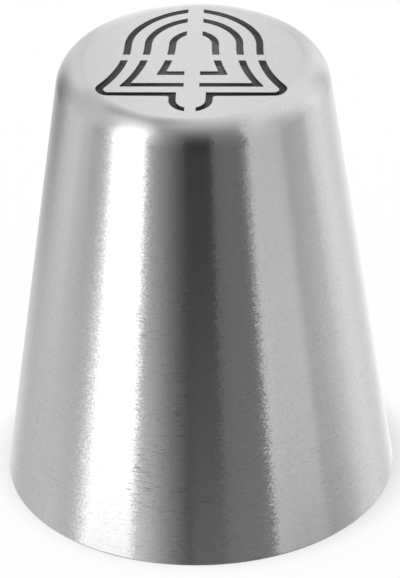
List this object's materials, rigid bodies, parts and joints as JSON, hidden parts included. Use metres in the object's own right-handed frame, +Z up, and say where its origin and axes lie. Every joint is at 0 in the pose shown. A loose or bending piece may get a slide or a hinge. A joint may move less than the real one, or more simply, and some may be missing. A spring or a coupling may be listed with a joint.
{
  "type": "piping nozzle",
  "caption": "Tapered steel piping nozzle, open at the wide end, with a flat rounded end face slotted in nested bell outlines for pressing icing into a bell shape.",
  "frame": {"origin": "centre of the open rim, in the plane that the nozzle stands on", "axes": "+Z runs up the nozzle's axis to the slotted end face, +Y points to the crown of the bell on that face, +X to the bell's right"},
  "size_m": [0.0332, 0.0332, 0.04],
  "materials": {
    "brushed_sheet": "fine satin brushing that runs round the wall"
  },
  "bodies": {
    "root": {"nozzle_shell": "brushed_sheet"}
  },
  "joints": []
}
